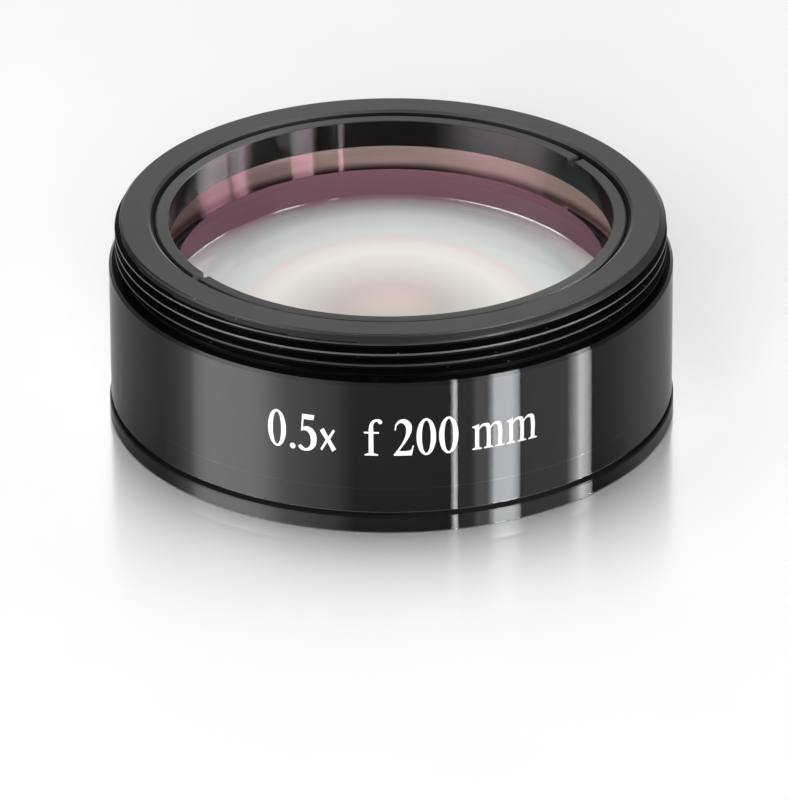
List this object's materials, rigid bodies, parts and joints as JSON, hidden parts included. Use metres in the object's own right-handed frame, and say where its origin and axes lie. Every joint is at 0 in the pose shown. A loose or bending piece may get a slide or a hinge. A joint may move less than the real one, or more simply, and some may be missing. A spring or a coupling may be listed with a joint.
{
  "type": "screw-in microscope objective",
  "caption": "Short black screw-in objective for a stereo microscope: turned barrel, male thread, slotted retaining ring, cemented lens and front ring.",
  "frame": {"origin": "on the optical axis, in the plane of the front face that the objective stands on", "axes": "+Z along the optical axis towards the microscope, +X to the right of the marking, the marking faces -Y"},
  "size_m": [0.0494, 0.0494, 0.0184],
  "materials": {
    "anodised_barrel": "black anodised, fine turned grain, white printed marking",
    "anodised_ring": "black anodised, satin",
    "crown_glass": "polished, coated with a purple anti-reflection film",
    "flint_glass": "polished, coated below with a purple anti-reflection film",
    "anodised_front": "black anodised, fine turned grain"
  },
  "bodies": {
    "root": {"barrel": "anodised_barrel", "retaining_ring": "anodised_ring", "crown_lens": "crown_glass", "flint_lens": "flint_glass", "front_ring": "anodised_front"}
  },
  "joints": []
}
